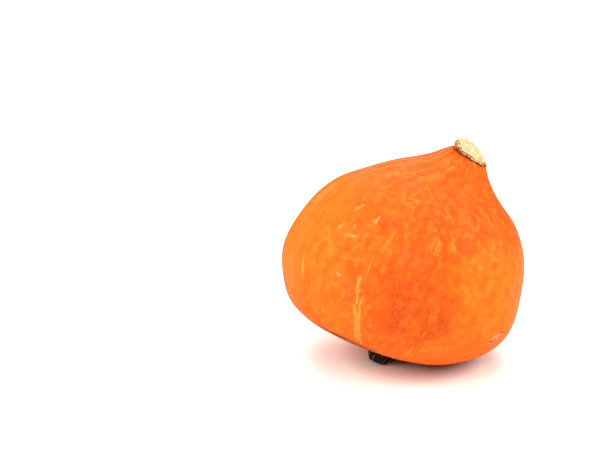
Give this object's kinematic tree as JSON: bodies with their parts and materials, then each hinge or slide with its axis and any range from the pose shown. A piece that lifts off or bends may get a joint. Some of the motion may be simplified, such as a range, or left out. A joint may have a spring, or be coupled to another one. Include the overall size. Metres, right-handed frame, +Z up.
{
  "type": "kabocha squash",
  "caption": "Whole orange teardrop-shaped winter squash lying tilted on its underside, with a corky cut stem stub on its tapered neck and a dark blossom knob below.",
  "frame": {"origin": "on the surface it rests on, under the middle of its bounding box", "axes": "+Z up; -Y is the front, which the picture shows; the stem stub points up toward +X"},
  "size_m": [0.1626, 0.1614, 0.15],
  "materials": {
    "rind": "waxy, semi-gloss orange rind with soft yellow-orange mottling and pale streaks along its length",
    "cork": "dry cream-coloured cork, tan and cracked at the side",
    "blossom_scar": "dry, dark green-black, with pale ribs"
  },
  "bodies": {
    "root": {"squash_fruit": "rind", "stem_stub": "cork", "blossom_button": "blossom_scar"}
  },
  "joints": []
}
